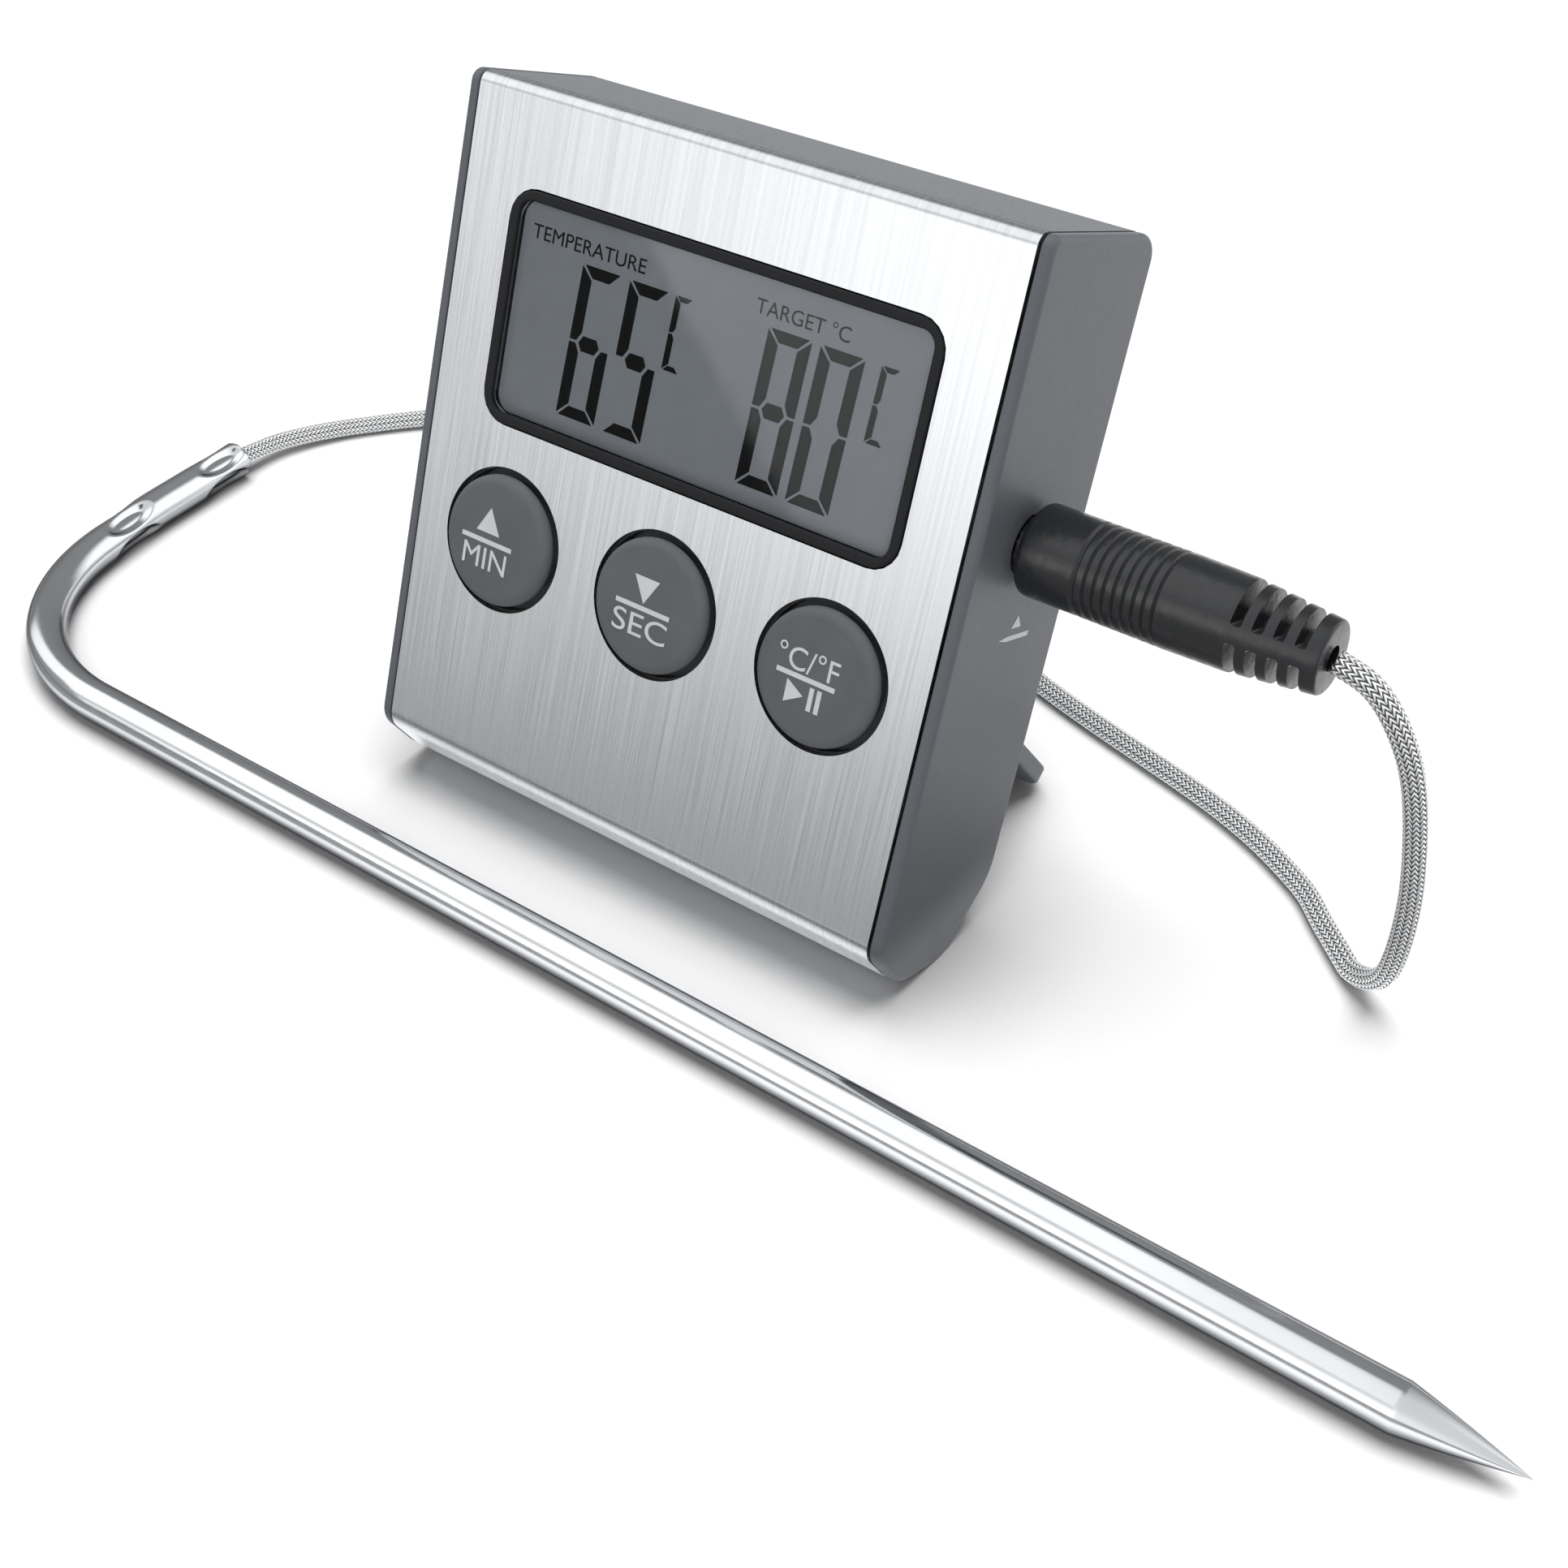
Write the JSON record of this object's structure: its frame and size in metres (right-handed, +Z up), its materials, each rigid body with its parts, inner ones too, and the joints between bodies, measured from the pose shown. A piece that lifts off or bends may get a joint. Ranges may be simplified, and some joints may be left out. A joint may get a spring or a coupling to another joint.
{
  "type": "meat thermometer",
  "caption": "Leaning kitchen display unit with push buttons and fold-out stand, and a bent steel probe on a braided lead that plugs into its side.",
  "frame": {"origin": "on the ground, in the middle of the whole object's footprint", "axes": "+X to the right as the user reads the display and along the straight probe, +Y towards the back of the unit, +Z up"},
  "size_m": [0.1996, 0.0902, 0.0717],
  "materials": {
    "brushed_steel": "satin",
    "slate_plastic": "satin",
    "dark_plastic": "matt",
    "black_plastic": "satin",
    "white_plastic": "matt",
    "clear_lens": "gloss",
    "display_grey": "satin",
    "button_rubber": "matt",
    "plug_rubber": "satin",
    "contact_rubber": "matt",
    "board_green": "satin",
    "chip_black": "matt",
    "nickel_plate": "polished",
    "spring_steel": "satin",
    "cell_wrap": "gloss",
    "braided_steel": "braided",
    "polished_steel": "polished",
    "sensor_epoxy": "gloss",
    "sensor_wire": "satin"
  },
  "bodies": {
    "housing": {"back_cover": "slate_plastic", "battery": "cell_wrap", "battery_contact_plate": "nickel_plate", "battery_spring": "nickel_plate", "battery_tray": "dark_plastic", "board_screw_1": "nickel_plate", "board_screw_2": "nickel_plate", "buzzer": "chip_black", "case_screw_1": "nickel_plate", "case_screw_2": "nickel_plate", "case_screw_3": "nickel_plate", "case_screw_4": "nickel_plate", "circuit_board": "board_green", "contact_strip": "contact_rubber", "display_bezel": "black_plastic", "display_glass": "display_grey", "display_holder": "white_plastic", "display_lens": "clear_lens", "front_panel": "brushed_steel", "inner_frame": "dark_plastic", "left_end_cap": "slate_plastic", "magnet_left": "nickel_plate", "magnet_right": "nickel_plate", "microcontroller": "chip_black", "minute_switch_dome": "spring_steel", "probe_socket": "black_plastic", "quartz_crystal": "nickel_plate", "right_end_cap": "slate_plastic", "second_switch_dome": "spring_steel", "socket_contact": "spring_steel", "start_switch_dome": "spring_steel"},
    "minute_button": {"minute_button": "button_rubber"},
    "second_button": {"second_button": "button_rubber"},
    "start_button": {"start_button": "button_rubber"},
    "stand": {"stand_leg": "slate_plastic", "hinge_pin_left": "nickel_plate", "hinge_pin_right": "nickel_plate"},
    "battery_door": {"battery_door": "slate_plastic"},
    "lead": {"plug_grip": "plug_rubber", "plug_sleeve": "nickel_plate", "plug_insulator": "black_plastic", "plug_tip": "nickel_plate", "cable": "braided_steel"},
    "probe": {"probe_tube": "polished_steel", "thermistor": "sensor_epoxy", "sensor_wires": "sensor_wire"}
  },
  "joints": [
    {"name": "minute_press", "type": "slide", "parent": "housing", "child": "minute_button", "axis": [0, 0.9432, -0.3322], "range_m": [0, 0.0008], "stiffness_N_per_m": 900},
    {"name": "second_press", "type": "slide", "parent": "housing", "child": "second_button", "axis": [0, 0.9432, -0.3322], "range_m": [0, 0.0008], "stiffness_N_per_m": 900},
    {"name": "start_press", "type": "slide", "parent": "housing", "child": "start_button", "axis": [0, 0.9432, -0.3322], "range_m": [0, 0.0008], "stiffness_N_per_m": 900},
    {"name": "stand_fold", "type": "hinge", "parent": "housing", "child": "stand", "pos_m": [-0.00304, -0.00583, 0.02119], "axis": [1, 0, 0], "range_deg": [-58.5, 0]},
    {"name": "battery_door_lift", "type": "slide", "parent": "housing", "child": "battery_door", "axis": [0, 0.9432, -0.3322], "range_m": [0, 0.025]},
    {"name": "plug_pull", "type": "slide", "parent": "housing", "child": "lead", "axis": [1, 0, 0], "range_m": [0, 0.014]},
    {"name": "probe_swing", "type": "hinge", "parent": "lead", "child": "probe", "pos_m": [-0.09741, 0.0042, 0.00235], "axis": [0, 0, 1], "range_deg": [-30, 0]}
  ]
}
